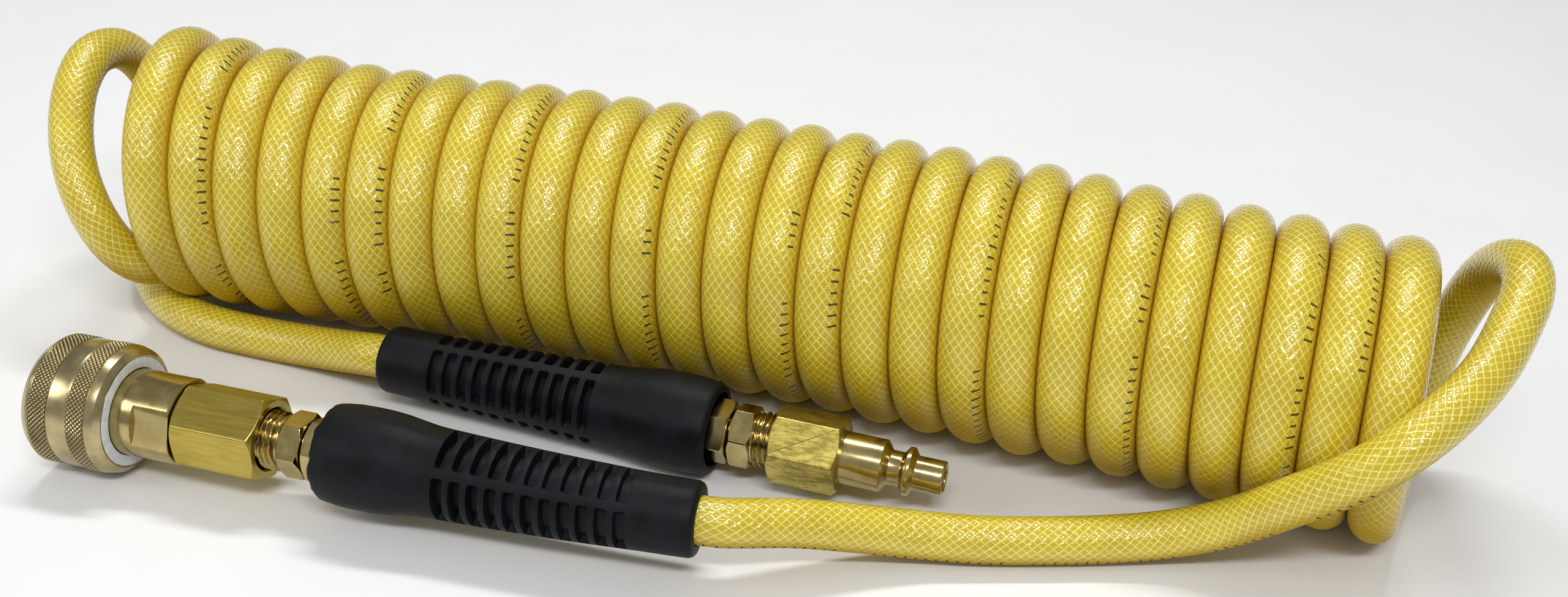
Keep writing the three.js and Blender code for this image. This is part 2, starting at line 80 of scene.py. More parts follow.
def make_camera():
    """A camera off the front, looking down at the layout frame's origin and rolled a little."""
    target = LAYOUT_ORIGIN * MM
    back = np.array([0, -math.cos(CAMERA_ELEVATION), math.sin(CAMERA_ELEVATION)])
    side, rise = np.array([1.0, 0, 0]), np.array([0, math.sin(CAMERA_ELEVATION), math.cos(CAMERA_ELEVATION)])
    right = math.cos(CAMERA_ROLL) * side + math.sin(CAMERA_ROLL) * rise
    up = -math.sin(CAMERA_ROLL) * side + math.cos(CAMERA_ROLL) * rise
    place = target + CAMERA_DISTANCE * MM * back
    camera = bpy.data.objects.new("camera", bpy.data.cameras.new("camera"))
    bpy.context.scene.collection.objects.link(camera)
    pose = np.eye(4)
    pose[:3, 0], pose[:3, 1], pose[:3, 2], pose[:3, 3] = right, up, back, place
    camera.matrix_world = Matrix(pose.tolist())
    camera.data.sensor_width, camera.data.lens = SENSOR_WIDTH, LENS
    camera.data.clip_start, camera.data.clip_end = CLIP_START, CLIP_END
    bpy.context.scene.camera = camera


# ---- routes ----
def smooth_step(t):
    t = np.clip(t, 0, 1)
    return t * t * (3 - 2 * t)


def axis_table():
    """The coil axis in plan as (distance along it, points, directions)."""
    t = np.linspace(0, 1, 2001)[:, None]
    a, b, c = AXIS_CONTROL
    points = (1 - t) ** 2 * a + 2 * t * (1 - t) * b + t**2 * c
    steps = np.linalg.norm(np.diff(points, axis=0), axis=1)
    directions = np.gradient(points, axis=0)
    directions /= np.linalg.norm(directions, axis=1)[:, None]
    return np.concatenate([[0], np.cumsum(steps)]), points, directions


AXIS_S, AXIS_POINTS, AXIS_DIRECTIONS = axis_table()


def axis_at(s):
    """The coil axis's point and direction in plan at s, run on straight past its ends."""
    inside = min(max(s, 0.0), AXIS_S[-1])
    point = np.array([np.interp(inside, AXIS_S, AXIS_POINTS[:, i]) for i in range(2)])
    along = np.array([np.interp(inside, AXIS_S, AXIS_DIRECTIONS[:, i]) for i in range(2)])
    along /= np.linalg.norm(along)
    return point + (s - inside) * along, along


def beside_coil(s, front, z):
    """The point at height z that is front millimetres in front of the coil's axis at s."""
    point, along = axis_at(s)
    return [point[0] + front * along[1], point[1] - front * along[0], z]


def coil_centre_z(s):
    return COIL_AXIS_Z + COIL_LIFT * max(0.0, 1 - s / COIL_LIFT_RUN) ** 2


def coil_point(s):
    """The middle of the hose at s along the coil's axis. No two turns have quite the same radius."""
    turn = 2 * math.pi * s / COIL_PITCH + math.pi
    radius = sum((high * math.sin(rate * s / COIL_PITCH + start) for high, rate, start in RADIUS_WAVES), COIL_R)
    return beside_coil(s, radius * math.sin(turn), coil_centre_z(s) + radius * math.cos(turn))


def bent_point(x, y):
    """Where the coupler restrictor's bend takes a point of its own XY plane."""
    angle = max(0.0, RELIEF_BEND_FROM - x) / RELIEF_BEND_R
    reach = RELIEF_BEND_R + y
    return max(x, RELIEF_BEND_FROM) - reach * math.sin(angle), reach * math.cos(angle) - RELIEF_BEND_R


def at_end(rim, heading, x, y=0.0):
    """A point of a fitting's own XY plane, in the layout frame."""
    c, s = math.cos(heading), math.sin(heading)
    return [rim[0] + c * x - s * y, rim[1] + s * x + c * y, rim[2]]


def plug_entry(x):
    return at_end(PLUG_RIM, PLUG_HEADING, x)


def coupler_entry(x):
    return at_end(COUPLER_RIM, COUPLER_HEADING, *bent_point(x, 0.0))


# The slack turn at the left and the tail under it, from the coil to the plug.
LEFT_RUN = [
    [-159.4, -9, 13],
    [-158.9, -18.5, 15.2],
    [-159.7, -27.5, 18.2],
    [-161.6, -33.8, 22],
    [-165.2, -37, 28],
    [-169.3, -36.3, 35],
    [-173.7, -32, 43.3],
    [-177, -24.5, 51.3],
    [-178.7, -14, 59.3],
    [-178, -3.5, 63.8],
    [-175.8, 8, 61.7],
    [-173.6, 17, 53],
    [-172, 20.8, 41],
    [-171, 20.2, 28],
    [-170.5, 14.5, 16],
    [-170.6, 6, 8.6],
    [-170.3, -3, 5.8],
    [-168, -12, 5.3],
    [-163.5, -19.8, 5.3],
    [-157.5, -26.9, 5.3],
    [-150.5, -32.5, 5.3],
    [-143, -36.4, 5.3],
    [-135, -39, 5.3],
    [-127.5, -41.2, 5.4],
    [-117.5, -44.9, 6.4],
    [-106.4, -50.6, 8.9],
]
# The slack turn at the right and the tail along the front, from the coil to the coupler.
RIGHT_RUN = [
    beside_coil(COIL_END, 1, 5.4),
    beside_coil(COIL_END + 0.8, -11, 7.8),
    beside_coil(COIL_END + 2, -21, 15),
    [152.5, -63, 33.5],
    [154.3, -69.5, 53.3],
    [154.6, -78.3, 62],
    [154.2, -87.5, 65],
    [152.4, -94, 63.4],
    [148.5, -100.5, 59.6],
    [141.3, -110, 54],
    [130.8, -118.9, 48],
    [122.1, -122.9, 42.3],
    [115, -121.7, 35],
    [106.2, -117, 25.2],
    [95.6, -109.6, 12.9],
    [84, -106.9, 7.2],
    [71, -107.2, 5.5],
    [57.7, -108.3, 5.3],
    [44.4, -109.2, 5.5],
    [31.2, -109.9, 6.6],
    [18.7, -111.8, 9],
    [4.7, -115, 12.2],
]


def smooth_through(points, spacing):
    """A centripetal Catmull-Rom curve through the points, resampled at even spacing."""
    p = np.asarray(points, float)
    p = np.vstack([2 * p[0] - p[1], p, 2 * p[-1] - p[-2]])
    dense = []
    for i in range(1, len(p) - 2):
        p0, p1, p2, p3 = p[i - 1 : i + 3]
        d0, d1, d2 = (max(np.linalg.norm(b - a), 1e-6) ** 0.5 for a, b in ((p0, p1), (p1, p2), (p2, p3)))
        m1 = ((p1 - p0) / d0 - (p2 - p0) / (d0 + d1) + (p2 - p1) / d1) * d1
        m2 = ((p2 - p1) / d1 - (p3 - p1) / (d1 + d2) + (p3 - p2) / d2) * d1
        t = np.linspace(0, 1, 12, endpoint=False)[:, None]
        dense.append(
            p1 + m1 * t + (-3 * p1 + 3 * p2 - 2 * m1 - m2) * t**2 + (2 * p1 - 2 * p2 + m1 + m2) * t**3
        )
    dense = np.vstack([*dense, p[-2]])
    run = np.concatenate([[0], np.cumsum(np.linalg.norm(np.diff(dense, axis=0), axis=1))])
    stations = np.linspace(0, run[-1], round(run[-1] / spacing) + 1)
    return np.column_stack([np.interp(stations, run, dense[:, i]) for i in range(3)]), stations


def hose_line():
    """The whole hose's centre line, plug end first, its stations, and the indices where the coil starts and ends."""
    per_turn = 24
    spacing = 2.8
    inset = COIL_PITCH / per_turn
    coil = [coil_point(s) for s in np.arange(inset, COIL_END - inset / 2, inset)]
    plug_end = [plug_entry(x) for x in np.linspace(HOSE_STOP, -RELIEF_LENGTH, 12)]
    coupler_end = [coupler_entry(x) for x in np.linspace(-RELIEF_LENGTH, HOSE_STOP, 12)]
    points = (
        plug_end + [plug_entry(-RELIEF_LENGTH - 4)] + LEFT_RUN[::-1]
        + coil
        + RIGHT_RUN + [coupler_entry(-RELIEF_LENGTH - 4)] + coupler_end
    )
    line, stations = smooth_through(points, spacing)
    first = int(np.argmin(np.linalg.norm(line - coil[0], axis=1)))
    last = int(np.argmin(np.linalg.norm(line - coil[-1], axis=1)))
    return line, stations, first, last


# ---- meshes ----
def link_mesh(name, vertices, faces, sharp=28.0):
    """A smooth-shaded mesh object from vertices in millimetres, with edges over sharp degrees kept crisp."""
    mesh = bpy.data.meshes.new(name)
    mesh.from_pydata((np.asarray(vertices) * MM).tolist(), [], faces)
    mesh.polygons.foreach_set("use_smooth", np.ones(len(mesh.polygons), bool))
    mesh.set_sharp_from_angle(angle=math.radians(sharp))
    obj = bpy.data.objects.new(name, mesh)
    bpy.context.scene.collection.objects.link(obj)
    return obj


def grid_faces(count, sides, closed):
    """The quads between count rings of vertices; closed joins the last ring to the first."""
    k = np.arange(sides)
    nxt = (k + 1) % sides
    faces = []
    for i in range(count if closed else count - 1):
        j = (i + 1) % count
        faces.append(np.column_stack([i * sides + k, i * sides + nxt, j * sides + nxt, j * sides + k]))
    return np.vstack(faces).tolist()


def sweep(name, line, normals, half_out, half_side, sides, stations):
    """A closed tube along line. normals point out of its coil; the two halves are its section's semi-axes.
    Its UVs are the distance along it in metres and the share of a turn round it."""
    tangents = np.gradient(line, axis=0)
    tangents /= np.linalg.norm(tangents, axis=1)[:, None]
    normals = normals - (normals * tangents).sum(1)[:, None] * tangents
    normals /= np.linalg.norm(normals, axis=1)[:, None]
    sideways = np.cross(tangents, normals)
    angle = 2 * math.pi * np.arange(sides) / sides
    out = np.cos(angle)[None, :, None] * normals[:, None, :] * np.asarray(half_out)[:, None, None]
    across = np.sin(angle)[None, :, None] * sideways[:, None, :] * np.asarray(half_side)[:, None, None]
    vertices = (line[:, None, :] + out + across).reshape(-1, 3)
    count = len(line)
    faces = grid_faces(count, sides, False)
    quads = len(faces)
    faces.append(list(range(sides))[::-1])
    faces.append([(count - 1) * sides + k for k in range(sides)])
    obj = link_mesh(name, vertices, faces, 60.0)
    uv = obj.data.uv_layers.new(name="tube")
    along = np.repeat(np.arange(count - 1), sides)
    around = np.tile(np.arange(sides), count - 1)
    u0, u1 = stations[along] * MM, stations[along + 1] * MM
    v0, v1 = around / sides, (around + 1) / sides
    loops = np.stack([np.stack([u0, v0], 1), np.stack([u0, v1], 1), np.stack([u1, v1], 1), np.stack([u1, v0], 1)], 1)
    flat = np.concatenate([loops.reshape(-1, 2), np.zeros((len(obj.data.loops) - 4 * quads, 2))])
    uv.data.foreach_set("uv", flat.astype(np.float32).ravel())
    return obj


def add_attribute(obj, name, values):
    attribute = obj.data.attributes.new(name, "FLOAT", "POINT")
    attribute.data.foreach_set("value", np.asarray(values, np.float32))


def transported(line, start, reference, step):
    """Normals carried along line from index start, where the normal is reference."""
    found, normal = {start: reference}, reference
    i = start
    while 0 <= i + step < len(line):
        ahead = line[min(i + step + 1, len(line) - 1)] if step > 0 else line[max(i + step - 1, 0)]
        tangent = ahead - line[i]
        tangent = tangent / np.linalg.norm(tangent)
        normal = normal - (normal @ tangent) * tangent
        normal = normal / np.linalg.norm(normal)
        i += step
        found[i] = normal
    return found


HOSE_SIDES = 28
PRESSED_THINNER, PRESSED_WIDER = 0.15, 0.42  # how the coil's turns shape the hose's round section
PRESSED_RUN = 60.0


def make_hose():
    """The hose and its centre line. Its crevice values are painted shade: high where turns touch and inside the coil.
    """
    line, stations, first, last = hose_line()
    normals = np.zeros_like(line)
    s = np.interp(np.arange(len(line)), [first, last], [0.0, COIL_END])
    for i in range(first, last + 1):
        point, along = axis_at(s[i])
        centre = np.array([*point, coil_centre_z(s[i])])
        axis = np.array([*along, 0.0])
        outward = line[i] - centre
        outward -= (outward @ axis) * axis
        normals[i] = outward / np.linalg.norm(outward)
    for end, step in ((first, -1), (last, 1)):
        for i, normal in transported(line, end, normals[end], step).items():
            normals[i] = normal
    in_coil = smooth_step(np.minimum(stations - stations[first], stations[last] - stations) / PRESSED_RUN)
    round_r = HOSE_DIAMETER / 2
    obj = sweep(
        "air_hose", line + LAYOUT_ORIGIN, normals,
        round_r - PRESSED_THINNER * in_coil, round_r + PRESSED_WIDER * in_coil, HOSE_SIDES, stations,
    )
    angle = 2 * math.pi * np.arange(HOSE_SIDES) / HOSE_SIDES
    # Painted shade: where neighbouring turns touch, and on the side that faces into the coil.
    shade_between_turns = np.abs(np.sin(angle))[None, :] ** 6 * in_coil[:, None]
    shade_inside_coil = np.clip(-np.cos(angle), 0, 1)[None, :] ** 0.7 * in_coil[:, None]
    add_attribute(obj, "crevice_shade", np.maximum(shade_between_turns, shade_inside_coil).ravel())
    return obj, line


HEX_ANGLES = np.radians([60 * side + step for side in range(6) for step in (0, 1, *range(3, 58, 3), 59)])
ROUND_ANGLES = np.radians(np.arange(0, 360, 2.5))
FEW_ANGLES = ROUND_ANGLES[::4]
CORNERS_TO_FLATS = 1.1547
CORNER_BLUNTING = 0.08


def rings(outline, angles):
    """Rings of constant radius from [x, radius] pairs, as (x, radius) arrays."""
    outline = np.asarray(outline, float)
    ones = np.ones(len(angles))
    return np.outer(outline[:, 0], ones), np.outer(outline[:, 1], ones)


def hexagon_rings(across_flats, x0, x1):
    """The outside of a hexagon bar from x0 to x1 whose corners are turned off at both ends."""
    edge, slope = 0.12, 0.6
    flat = across_flats / 2
    off_middle = (HEX_ANGLES % (math.pi / 3)) - math.pi / 6
    radius = np.minimum(flat / np.cos(off_middle), flat * CORNERS_TO_FLATS - CORNER_BLUNTING)
    face = flat - 0.1
    depth = slope * (radius - face)
    x, r = [], []
    for start, way in ((x0, 1), (x1, -1)):
        level = np.full_like(radius, start)
        part_x = [level, level, start + way * (depth - edge * 0.5), start + way * (depth + edge)]
        part_r = [np.full_like(radius, face - 1.2), np.full_like(radius, face), radius - edge * 0.5 / slope, radius]
        x += part_x[::way]
        r += part_r[::way]
    return np.array(x), np.array(r)


def eased(outline, radius=0.2, closed=True):
    """The outline with its corners rounded off."""
    p = np.asarray(outline, float)
    count, points = len(p), []
    for i in range(count):
        if not closed and i in (0, count - 1) or p[i, 1] < 1e-6:
            points.append(p[i])
            continue
        before, after = p[i - 1] - p[i], p[(i + 1) % count] - p[i]
        lb, la = np.linalg.norm(before), np.linalg.norm(after)
        if lb < 1e-6 or la < 1e-6 or (before @ after) / (lb * la) < -0.985:
            points.append(p[i])
            continue
        cut = min(radius, 0.4 * lb, 0.4 * la)
        a, b = p[i] + before / lb * cut, p[i] + after / la * cut
        for t in (0, 0.33, 0.67, 1):
            points.append((1 - t) ** 2 * a + 2 * t * (1 - t) * p[i] + t**2 * b)
    return np.array(points)


def stacked(*parts):
    """Several (x, radius) parts as one, in order."""
    return np.vstack([x for x, _ in parts]), np.vstack([r for _, r in parts])


def turned(name, parts, angles, closed=True, sharp=28.0):
    """A body of revolution from (x, radius) rings. A ring at radius 0 closes to a point."""
    x, r = parts
    y, z = r * np.cos(angles)[None, :], r * np.sin(angles)[None, :]
    vertices = np.stack([x, y, z], 2).reshape(-1, 3)
    obj = link_mesh(name, vertices, grid_faces(len(x), len(angles), closed), sharp)
    if not closed:
        work = bmesh.new()
        work.from_mesh(obj.data)
        bmesh.ops.remove_doubles(work, verts=work.verts, dist=1e-7)
        work.to_mesh(obj.data)
        work.free()
    return obj


def round_piece(name, outline, closed=True):
    """A body of revolution from [x, radius] pairs."""
    return turned(name, rings(outline, ROUND_ANGLES), ROUND_ANGLES, closed)


def end_matrix(rim, heading):
    """Takes a fitting's own frame to its place in the row frame."""
    return Matrix.Translation(Vector((rim + LAYOUT_ORIGIN) * MM)) @ Matrix.Rotation(heading, 4, "Z")


# ---- rubber bend restrictor ----
RIBS_FROM = -28.0
RIB_PITCH = 3.9
RIB_WIDTH = 1.35
WINDOWS = 11
RIBS_TO = RIBS_FROM - WINDOWS * RIB_PITCH + RIB_WIDTH
CORE_R = 6.9
SPINE_HALF = 0.95
WINDOW_CORNER = 0.7
WINDOW_WALL = 0.34  # the run of a window's drafted wall
HALF_WINDOW = (RIB_PITCH - RIB_WIDTH) / 2
RIBBED_R = 8.6  # the radius at which distances round the ribbed length are measured
SEAM_R, SEAM_RISE, SEAM_HALF = 9.5, 0.14, 0.3  # the mould's parting line
RIM_RUN = 2.2  # how far the torn rim's unevenness reaches


def restrictor_outer(x):
    """The outside radius before the windows are cut."""
    stations = [-RELIEF_LENGTH, -RELIEF_LENGTH + 0.35, -RELIEF_LENGTH + 1.2, RIBS_TO - 1.5, RIBS_TO,
                RIBS_FROM, -26.5, -23, -19, -16, -12.5, -9, -5, -2, -0.9, -0.3, 0]
    radii = [7.35, 7.8, 8.15, 8.3, 8.35, 9.7, 9.72, 9.95, 10.5, 10.95, 11.22, 11.3, 11.2, 10.85, 10.6, 10.3, 9.9]
    return np.interp(x, stations, radii)


def window_depth(x, angles, spine_at):
    """0 on the ribs and spines and 1 on the floor of a window, with rounded corners and drafted walls."""
    cell = (RIBS_FROM - x) / RIB_PITCH
    inside = (cell > 0) & (cell < WINDOWS)
    centre = (np.floor(cell) * RIB_PITCH) + HALF_WINDOW
    along = np.abs((RIBS_FROM - x) - centre)
    quarter = math.pi / 2
    middle = quarter / 2
    off_spine = np.abs((angles - spine_at + middle) % quarter - middle)
    around = (middle - off_spine) * RIBBED_R
    half_around = middle * RIBBED_R - SPINE_HALF
    dx, dy = along - (HALF_WINDOW - WINDOW_CORNER), around - (half_around - WINDOW_CORNER)
    gap = np.hypot(np.maximum(dx, 0), np.maximum(dy, 0)) + np.minimum(np.maximum(dx, dy), 0) - WINDOW_CORNER
    return smooth_step(-gap / WINDOW_WALL + 0.12) * inside


def restrictor_stations():
    """Places along the rubber that crowd at its rims and at the edges of its windows."""
    offsets = [0.0, 0.06, 0.14, 0.22, 0.3, 0.45, 0.7, HALF_WINDOW]
    cells = []
    for i in range(WINDOWS):
        start = RIBS_FROM - i * RIB_PITCH
        end = start - 2 * HALF_WINDOW
        cells += [start - o for o in offsets] + [end + o for o in offsets[:-1][::-1]]
        cells += [end - RIB_WIDTH * 0.33, end - RIB_WIDTH * 0.67]
    cells = [c for c in cells if c >= RIBS_TO]
    tail = [*(-RELIEF_LENGTH + o for o in (0, 0.35, 0.7, 1.2)), -80, -77, -74, -71.5, RIBS_TO - 0.6]
    head = [-27.7, -27, -26, -25, -23, -21, -19, -17.5, -16, -14, -12.5, -10.5, -9, -7, -5, -3.5, -2, -1.4, -0.9,
            -0.55, -0.3, -0.12, 0]
    return np.array(sorted({*tail, *[round(c, 4) for c in cells], *head}))


def restrictor_angles(spine_at):
    """Angles that crowd at the edges of the four spines."""
    steps = [0, 3, 4.6, 5.4, 6.2, 7.0, 7.8, 8.8, 10.2, 12.5, 16, 21, 27, 33, 39]
    half = [*steps, 45]
    quarter = half + [90 - s for s in steps[1:]][::-1]
    return np.radians([90 * q + s for q in range(4) for s in quarter]) + spine_at


def make_restrictor(name, spine_at, ragged):
    """ragged is how far the moulded rim wanders, as it does where the rubber tore from its gate."""
    angles = restrictor_angles(spine_at)
    x = restrictor_stations()
    outer = restrictor_outer(x)[:, None] * np.ones(len(angles))
    depth = window_depth(x[:, None], angles[None, :], spine_at)
    outer = outer - depth * (outer - CORE_R)
    off_seam = np.abs((angles - spine_at - math.pi / 4) % math.pi - math.pi / 2) * SEAM_R
    outer += SEAM_RISE * np.exp(-((off_seam[None, :] / SEAM_HALF) ** 2)) * (1 - depth)
    wander = np.sin(7 * angles + 1) + 0.7 * np.sin(13 * angles) + 0.5 * np.sin(23 * angles + 2)
    near_rim = smooth_step((x[:, None] + RIM_RUN) / RIM_RUN)
    outer += ragged * wander[None, :] * near_rim * 0.6
    xs = x[:, None] + ragged * wander[None, :] * near_rim
    inside_x, inside_r = rings(
        eased([[0, 8.7], [-5, 8.7], [-5, 7.9], [-24.5, 7.9], [-26, 5.55], [-RELIEF_LENGTH, 5.55]], 0.3, False), angles
    )
    inside_x[0] += ragged * wander
    return turned(name, (np.vstack([xs, inside_x]), np.vstack([outer, inside_r])), angles, sharp=50.0)


def bend_to_coupler(obj):
    """Gives the coupler's rubber the bend of the hose inside it."""
    for vertex in obj.data.vertices:
        x, y = bent_point(vertex.co.x / MM, vertex.co.y / MM)
        vertex.co.x, vertex.co.y = x * MM, y * MM


# ---- brass fittings ----
STEM_HEX, PLUG_HEX, ADAPTER_HEX = 13.0, 15.875, 17.46  # across the flats
PLUG_HEX_TO = 30.1
THREAD_PITCH = 1.411
THREAD_FROM, THREAD_R, THREAD_TAPER = 9.7, 6.6, 1 / 32
THREAD_DEPTH = 0.95
BODY_R, BODY_HALF_FLATS = 9.8, 8.75
BALLS_X, BALLS_R, BALL_R = 60, 6.3, 2
BALL_HOLE_R = 2.2


def make_stem(name):
    """The barbed hose stem, its hexagon and the neck that the swivel turns on."""
    outline = [[-24, 2.0], [-24, 2.6]]
    for x in (-20.8, -15.8, -10.8):
        outline += [[x, 3.15], [x + 0.1, 2.8], [x + 1.8, 2.6]]
    outline += [[-3.4, 2.8]]
    front = [[4.1, 5], [4.1, 4.2], [6.5, 4.2], [6.5, 3.2], [7.9, 3.2], [7.9, 4.2], [9.6, 4.2], [9.6, 3],
             [11.4, 3], [11.4, 4.2], [13, 4.2], [13, 2.0]]
    parts = stacked(
        rings(outline, HEX_ANGLES),
        hexagon_rings(STEM_HEX, -3.4, 3.9),
        rings(eased(front, 0.1, False), HEX_ANGLES),
    )
    return turned(name, parts, HEX_ANGLES)


def make_swivel(name):
    """The turning nut with its taper pipe thread."""
    start, end, step, fade_run = 9.9, 14.9, 0.11, 0.9
    x = np.arange(start, end, step)
    phase = (x[:, None] / THREAD_PITCH - HEX_ANGLES[None, :] / (2 * math.pi)) % 1
    tooth = np.clip(np.abs(phase - 0.5) * 2.6 - 0.15, 0, 1)
    fade = smooth_step((x[:, None] - start) / fade_run)
    crest = THREAD_R - (x - THREAD_FROM) * THREAD_TAPER
    radius = crest[:, None] - THREAD_DEPTH + THREAD_DEPTH * tooth * fade
    thread = (x[:, None] * np.ones(len(HEX_ANGLES)), radius)
    inside = [[24.7, 5.6], [24.7, 3], [13.6, 3], [13.6, 4.5], [8, 4.5], [8, 5.2], [6.4, 5.2], [6.4, 4.5], [4.4, 4.5]]
    parts = stacked(
        hexagon_rings(STEM_HEX, 4.4, THREAD_FROM),
        rings([[THREAD_FROM, 5.75]], HEX_ANGLES),
        thread,
        rings([[15.1, 5.7], [23.8, 5.9], *inside], HEX_ANGLES),
    )
    return turned(name, parts, HEX_ANGLES)


def make_plug(name):
    """The male plug: a hexagon, a shank with its locking groove, and a bore."""
    nose = eased(
        [[PLUG_HEX_TO, 5.95], [39.5, 5.95], [41.0, 3.95], [43.7, 3.95], [44.8, 5.5], [45.8, 5.5], [46.9, 3.92],
         [53.0, 3.92], [53.4, 3.6], [53.4, 3.05], [53.1, 2.8], [28.7, 2.8], [24.7, 5.8], [24.7, 6.43],
         [14.9, 6.75], [14.2, 7.1]],
        0.16, False,
    )
    parts = stacked(hexagon_rings(PLUG_HEX, 14.2, PLUG_HEX_TO), rings(nose, HEX_ANGLES))
    return turned(name, parts, HEX_ANGLES)


def make_adapter(name):
    """The long hexagon between the swivel's thread and the socket."""
    inside = eased(
        [[34.1, 7.9], [27.7, 7.9], [27.7, 5], [24.7, 5], [24.7, 6.45], [14.9, 6.75], [14.2, 7.25]], 0.15, False
    )
    parts = stacked(hexagon_rings(ADAPTER_HEX, 14.2, 34.1), rings(inside, HEX_ANGLES))
    return turned(name, parts, HEX_ANGLES)


def make_coupler_body(name):
    """The socket's body, with two wrench flats, a bore and four holes for the locking balls."""
    flat_end = 43.1
    flat_r = np.minimum(BODY_R, BODY_HALF_FLATS / np.maximum(np.abs(np.cos(ROUND_ANGLES)), 1e-3))
    low_r = np.minimum(flat_r, 9.45)
    ones = np.ones(len(ROUND_ANGLES))
    flats = (np.outer([34.4, 34.8, flat_end - 0.05, flat_end], ones), np.array([low_r, flat_r, flat_r, flat_r]))
    after = eased(
        [[flat_end, BODY_R], [50, BODY_R], [50, 8.15], [63.1, 8.15], [63.1, 7.4], [64.7, 7.4], [64.7, 8.15],
         [66.3, 8.15], [66.8, 7.65], [66.8, 6.55], [66.4, 6.15], [55.2, 6.15], [55.2, 5.6], [54.6, 5.6],
         [54.6, 6.8], [52.2, 6.8], [52.2, 4.3], [50.5, 4.3], [50.5, 6.2], [36, 6.2], [36, 4], [28, 4],
         [28, 7.6], [34.4, 7.6]],
        0.12, False,
    )
    obj = turned(name, stacked(flats, rings(after, ROUND_ANGLES)), ROUND_ANGLES)
    rod = [[-12, 0], [-12, BALL_HOLE_R], [12, BALL_HOLE_R], [12, 0]]
    for i in range(2):
        cutter = turned("cutter", rings(rod, FEW_ANGLES), FEW_ANGLES, False)
        cutter.data.transform(Matrix.Rotation(math.pi / 2, 4, "Y"))
        cutter.data.transform(Matrix.Rotation(i * math.pi / 2 + math.pi / 4, 4, "X"))
        cutter.data.transform(Matrix.Translation((BALLS_X * MM, 0, 0)))
        cut = obj.modifiers.new("ball_holes", "BOOLEAN")
        cut.operation, cut.solver, cut.object = "DIFFERENCE", "EXACT", cutter
        with_holes = bpy.data.meshes.new_from_object(obj.evaluated_get(bpy.context.evaluated_depsgraph_get()))
        obj.modifiers.clear()
        obj.data = with_holes
        bpy.data.objects.remove(cutter)
    return obj


KNURLED_BANDS = (51.2, 55.8), (60.6, 65.3)
KNURLS_ROUND = 84
KNURL_PITCH = 1.05
KNURL_STEPS = 8
KNURL_FLOOR_R, KNURL_RISE = 14.34, 0.34


def make_sleeve(name):
    """The locking sleeve, with diamond knurls cut into its two bands."""
    sides = KNURLS_ROUND * KNURL_STEPS
    angles = 2 * math.pi * np.arange(sides) / sides
    outside = eased(
        [[48, 12.5], [48, 12.9], [49.2, 14.1], [51.0, 14.62], [51.2, 14.3], [55.8, 14.3], [56.0, 14.5], [60.4, 14.5],
         [60.6, 14.3], [65.3, 14.3], [65.5, 14.62], [67.3, 13.4], [67.3, 10.6], [66.9, 10.2], [63.1, 10.2],
         [60.3, 8.65], [57.8, 8.65], [57.8, 12.5]],
        0.1,
    )
    x, r = rings(outside, angles)
    depth = np.zeros_like(r)
    for start, end in KNURLED_BANDS:
        band = np.arange(start + 0.12, end - 0.1, KNURL_PITCH / KNURL_STEPS)
        bx = band[:, None] * np.ones(len(angles))
        around = KNURLS_ROUND * angles[None, :] / (2 * math.pi)
        near = [np.abs((around + way * bx / KNURL_PITCH) % 1 - 0.5) * 2 for way in (1, -1)]
        height = np.clip(1.35 * np.minimum(*[1 - n for n in near]), 0, 1)
        band_r = KNURL_FLOOR_R + KNURL_RISE * height * smooth_step(np.minimum(bx - start, end - bx) / 0.35)
        at = int(np.argmax((x[:, 0] > (start + end) / 2) & (r[:, 0] > 13)))
        x, r = np.insert(x, at, bx, axis=0), np.insert(r, at, band_r, axis=0)
        depth = np.insert(depth, at, 1 - height, axis=0)
    obj = turned(name, (x, r), angles, sharp=60.0)
    add_attribute(obj, "groove", depth.ravel())
    return obj


def make_ball(name, angle):
    """A locking ball, at angle round the coupler's axis."""
    arc = np.linspace(math.pi, 0, 19)
    outline = np.column_stack([BALLS_X + BALL_R * np.cos(arc), BALL_R * np.sin(arc)])
    outline[0, 1] = outline[-1, 1] = 0
    obj = turned(name, rings(outline, FEW_ANGLES), FEW_ANGLES, False, 60.0)
    obj.data.transform(Matrix.Translation((0, -math.sin(angle) * BALLS_R * MM, math.cos(angle) * BALLS_R * MM)))
    return obj


def make_spring(name, x0, x1, radius, turns, wire=0.45):
    """A coil spring from x0 to x1. wire is half of the wire's thickness."""
    t = np.linspace(0, 1, turns * 28 + 1)
    a = 2 * math.pi * turns * t
    line = np.column_stack([x0 + wire + (x1 - x0 - 2 * wire) * t, radius * np.cos(a), radius * np.sin(a)])
    normals = np.column_stack([np.zeros_like(a), np.cos(a), np.sin(a)])
    run = np.concatenate([[0], np.cumsum(np.linalg.norm(np.diff(line, axis=0), axis=1))])
    return sweep(name, line, normals, np.full(len(t), wire), np.full(len(t), wire), 10, run)


